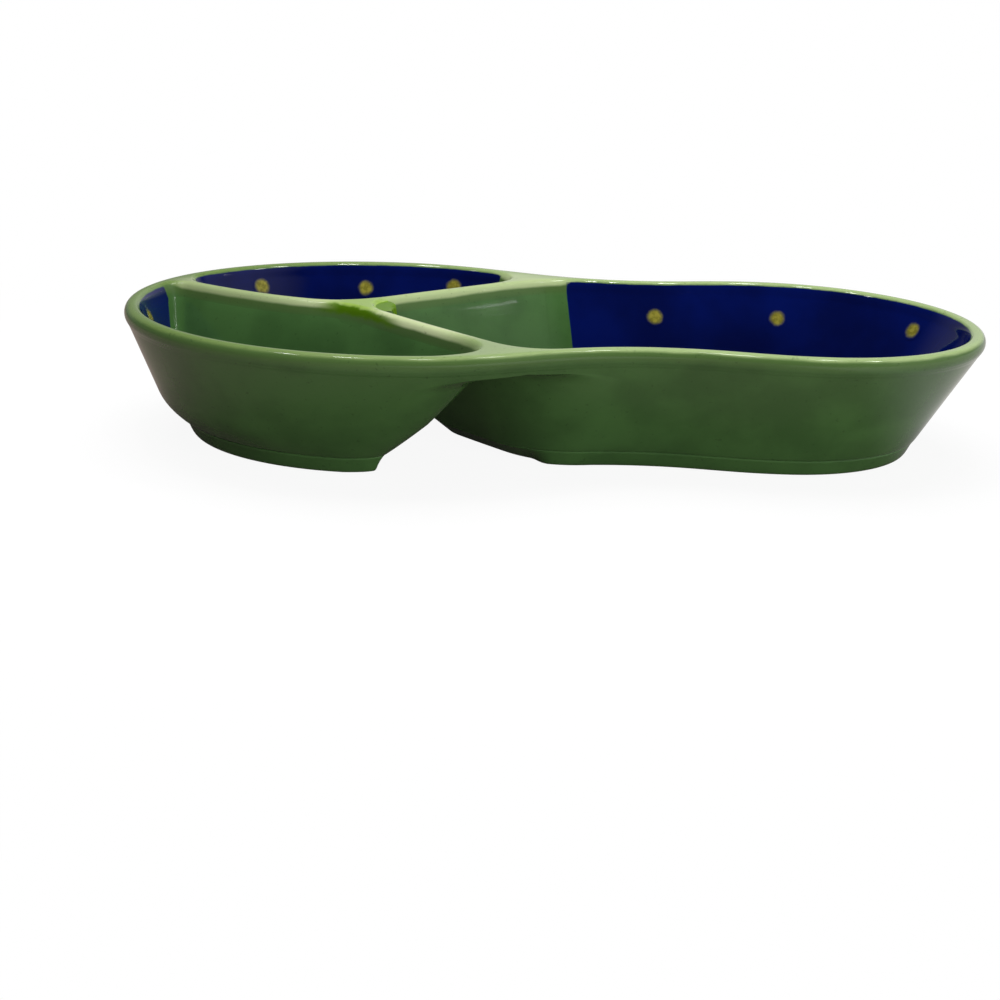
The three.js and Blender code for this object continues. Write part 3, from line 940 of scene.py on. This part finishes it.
def glaze(name, colour_of, rough, shine_of=None):
    """A glossy glaze with faint waves and pinholes."""
    material = bpy.data.materials.new(name)
    material.use_nodes = True
    tree = material.node_tree
    shader = tree.nodes["Principled BSDF"]
    tree.links.new(colour_of(tree), shader.inputs["Base Color"])
    smoothest, roughest = (rough * share for share in SHEEN_SHARES)
    sheen = rise(tree, noise(tree, *SHEEN), *SHEEN_SPREAD, smoothest, roughest)
    tree.links.new(sheen, shader.inputs["Roughness"])
    pinholes = times(tree, noise(tree, *PINHOLES), PINHOLE_SHARE)
    height = plus(tree, noise(tree, *WAVES), pinholes)
    bump = add_node(tree, "Bump", dict(WAVE_BUMP, Height=height))
    tree.links.new(bump.outputs[0], shader.inputs["Normal"])
    if shine_of:
        tree.links.new(shine_of(tree), shader.inputs["Specular IOR Level"])
    return material


# The dish


def add_dish():
    green = glaze("green_glaze_finish", green_colour, GREEN_ROUGHNESS)
    lining_finish = glaze("blue_glaze_finish", lining_colour, BLUE_ROUGHNESS)
    dot_finish = glaze("yellow_dot_finish", dot_colour, DOT_ROUGHNESS)
    lime_finish = glaze("lime_glaze_finish", hub_colour, LIME_ROUGHNESS, hub_shine)

    points, faces = rim_mesh()
    made = piece("glazed_rim", points, faces, green, "rim_and_dividers", "green_glaze")
    set_attribute(made, "inner", inner_share(points))
    points, faces, depth = hub_mesh()
    made = piece("hub_glaze_pool", points, faces, lime_finish, "hub_glaze", "lime_glaze")
    set_attribute(made, "inner", inner_share(points))
    set_attribute(made, "depth", depth)
    for name, tub in TUBS.items():
        piece(f"{name}_tub_walls", *tub_mesh(tub), green, f"{name}_tub", "green_glaze")
        piece(f"{name}_foot", *foot_mesh(tub), green, f"{name}_foot_ring", "green_glaze")
        lining = Lining(tub)
        points, faces = lining.mesh()
        stands_for = f"{name}_blue_glaze"
        made = piece(f"{name}_blue_lining", points, faces, lining_finish, stands_for, "blue_glaze")
        set_attribute(made, "inner", inner_share(points))
        set_attribute(made, "edge", lining.edge())
        for i, (share, drop) in enumerate(DOTS[name], 1):
            points, faces, radial = lining.dot(share, drop)
            stands_for = f"{name}_dot_{i}"
            dot_name = f"{name}_yellow_dot_{i}"
            made = piece(dot_name, points, faces, dot_finish, stands_for, "yellow_glaze")
            set_attribute(made, "radial", radial)


# Floor, light and camera

FLOOR_REACH = 4
PALE_FLOOR = (0.9, 0.9, 0.9, 1)
DIM_FLOOR = (0.28, 0.225, 0.20, 1)  # in reflections, and as it lights the dish from below
WHITE = (1, 1, 1, 1)
# The floor's white for the camera grows with the distance from the dish, which is longer than
# it is wide, and its white in reflections grows along the dish.
FLOOR_SCALE = (0.8, 1.2, 0)
SEEN_WHITE = (0.15, 0.4, 0.92, 1)
MIRRORED_WHITE = (0.13, 0.19, 0.012, 0.5)

# Brightness of the surroundings in reflections, by direction
HAZE_ALONG = (-1, 1, 0.11, 0.7)
HAZE_UP = (0.30, 0.02, 0.02)
BEHIND_AWAY = (0.35, 0.8, 0, 0.45)
BEHIND_UP = (0.62, 0.35)
BEHIND_ALONG = (-0.3, 0.05, 0.35, 1)
RIGHT_DIRECTION = (0.86, -0.1, 0.5)
RIGHT_GLOW = (0.75, 0.97, 0, 0.35)
EVEN_FILL = 0.25

# Lamps, with place, size and power. Only the spots show in reflections.
CENTRE = (0, 0, 0)
SOFT_LAMPS = {
    "overhead_softbox": ((-0.1, 0.25, 1.1), (1.0, 0.7), 12),
    "front_fill": ((1.0, -1.0, 0.35), (0.7, 0.5), 7),
    "low_fill": ((0.45, -1.3, 0.2), (1.2, 0.3), 4.5),
}
WINDOW_PLACE = (0.95, -0.05, 0.66)
WINDOW_SIZE = (0.01, 0.01)
WINDOW_POWER = 0.024
SPOTS_ALONG = (-0.5, -0.22, 0.06, 0.34, 0.62)
SPOTS_ACROSS = (-0.12, -0.02)  # by turns
SPOT_HEIGHT = 1.0
SPOT_SIZE = (0.08, 0.08)
SPOT_POWER = 0.6

CAMERA_PLACE = (-0.04376, -0.57911, 0.18066)
CAMERA_ANGLES = (2.272, 20.154, -2.382)  # turn to the right, pitch down and roll, in degrees
SENSOR_WIDTH = 36
LENS_RATIO = 1.4057  # focal length over sensor width
NEAREST = 0.01


def add_floor():
    """A pale floor that is white to the camera and keeps the dish's shadow."""
    mesh = bpy.data.meshes.new("floor")
    r = FLOOR_REACH
    mesh.from_pydata([(-r, -r, 0), (r, -r, 0), (r, r, 0), (-r, r, 0)], [], [(0, 1, 2, 3)])
    floor = bpy.data.objects.new("floor", mesh)
    bpy.context.collection.objects.link(floor)
    material = bpy.data.materials.new("pale_floor")
    material.use_nodes = True
    tree = material.node_tree
    tree.nodes.clear()
    path = add_node(tree, "LightPath")
    pale = add_node(tree, "BsdfDiffuse", {"Color": PALE_FLOOR})
    dim = add_node(tree, "BsdfDiffuse", {"Color": DIM_FLOOR})
    white = add_node(tree, "Emission", {"Color": WHITE, "Strength": 1})
    place = position(tree)
    along = parts(tree, place)[0]
    distance = vector(tree, "LENGTH", vector(tree, "MULTIPLY", place, FLOOR_SCALE)[0])["Value"]
    mirrored = mirrored_ray(tree, path)
    seen_share = times(tree, path.outputs["Is Camera Ray"], rise(tree, distance, *SEEN_WHITE))
    mirrored_share = times(tree, mirrored, rise(tree, along, *MIRRORED_WHITE))
    share = larger(tree, seen_share, mirrored_share)
    indirect = larger(tree, mirrored, path.outputs["Is Diffuse Ray"])
    body = add_node(tree, "MixShader", {0: indirect, 1: pale.outputs[0], 2: dim.outputs[0]})
    both = add_node(tree, "MixShader", {0: share, 1: body.outputs[0], 2: white.outputs[0]})
    output = add_node(tree, "OutputMaterial", {0: both.outputs[0]})
    output.is_active_output = True
    mesh.materials.append(material)


def add_world():
    """White to the camera and, in reflections, low behind the dish and to its right.

    Elsewhere it is a dim even fill.
    """
    world = bpy.data.worlds.new("studio")
    bpy.context.scene.world = world
    world.use_nodes = True
    tree = world.node_tree
    path = add_node(tree, "LightPath")
    direction = add_node(tree, "TexCoord").outputs["Generated"]
    along, away, up = parts(tree, direction)
    low = rise(tree, up, *HAZE_UP, rise(tree, along, *HAZE_ALONG))
    behind = times(tree, rise(tree, away, *BEHIND_AWAY), rise(tree, up, *BEHIND_UP))
    behind = times(tree, behind, rise(tree, along, *BEHIND_ALONG))
    to_right = vector(tree, "DOT_PRODUCT", direction, RIGHT_DIRECTION)["Value"]
    bright = larger(tree, behind, rise(tree, to_right, *RIGHT_GLOW))
    shown = larger(tree, low, bright)
    mirrored = mirrored_ray(tree, path)
    strength = add_node(tree, "Mix", {0: mirrored, 2: EVEN_FILL, 3: shown}).outputs[0]
    strength = larger(tree, strength, path.outputs["Is Camera Ray"])
    background = tree.nodes["Background"]
    background.inputs["Color"].default_value = WHITE
    tree.links.new(strength, background.inputs["Strength"])


def add_lamp(name, place, target, size, power, mirrored):
    light = bpy.data.lights.new(name, "AREA")
    light.shape = "RECTANGLE"
    light.size, light.size_y = size
    light.energy = power
    lamp = bpy.data.objects.new(name, light)
    lamp.visible_glossy = mirrored
    lamp.location = place
    lamp.rotation_euler = (Vector(target) - Vector(place)).to_track_quat("-Z", "Y").to_euler()
    bpy.context.collection.objects.link(lamp)


def add_lamps():
    for name, (place, size, power) in SOFT_LAMPS.items():
        add_lamp(name, place, CENTRE, size, power, False)
    add_lamp("window_spot", WINDOW_PLACE, CENTRE, WINDOW_SIZE, WINDOW_POWER, True)
    for i, x in enumerate(SPOTS_ALONG):
        place = (x, SPOTS_ACROSS[i % 2], SPOT_HEIGHT)
        add_lamp(f"ceiling_spot_{i + 1}", place, (x, 0, 0), SPOT_SIZE, SPOT_POWER, True)


def add_camera():
    """The viewing angle: turned a little to the right, looking down, and rolled slightly."""
    turn, pitch, roll = (math.radians(a) for a in CAMERA_ANGLES)
    flat = math.cos(pitch)
    forward = Vector((math.sin(turn) * flat, math.cos(turn) * flat, -math.sin(pitch)))
    level_right = Vector((math.cos(turn), -math.sin(turn), 0))
    level_up = level_right.cross(forward)
    right = math.cos(roll) * level_right - math.sin(roll) * level_up
    up = right.cross(forward)
    camera = bpy.data.objects.new("camera", bpy.data.cameras.new("camera"))
    camera.data.sensor_width = SENSOR_WIDTH
    camera.data.lens = LENS_RATIO * SENSOR_WIDTH
    camera.data.clip_start = NEAREST
    axes = Matrix((right, up, -forward)).transposed().to_4x4()
    camera.matrix_world = Matrix.Translation(CAMERA_PLACE) @ axes
    bpy.context.collection.objects.link(camera)
    bpy.context.scene.camera = camera


add_dish()
add_floor()
add_world()
add_lamps()
add_camera()

scene = bpy.context.scene
scene.view_settings.view_transform = "Standard"
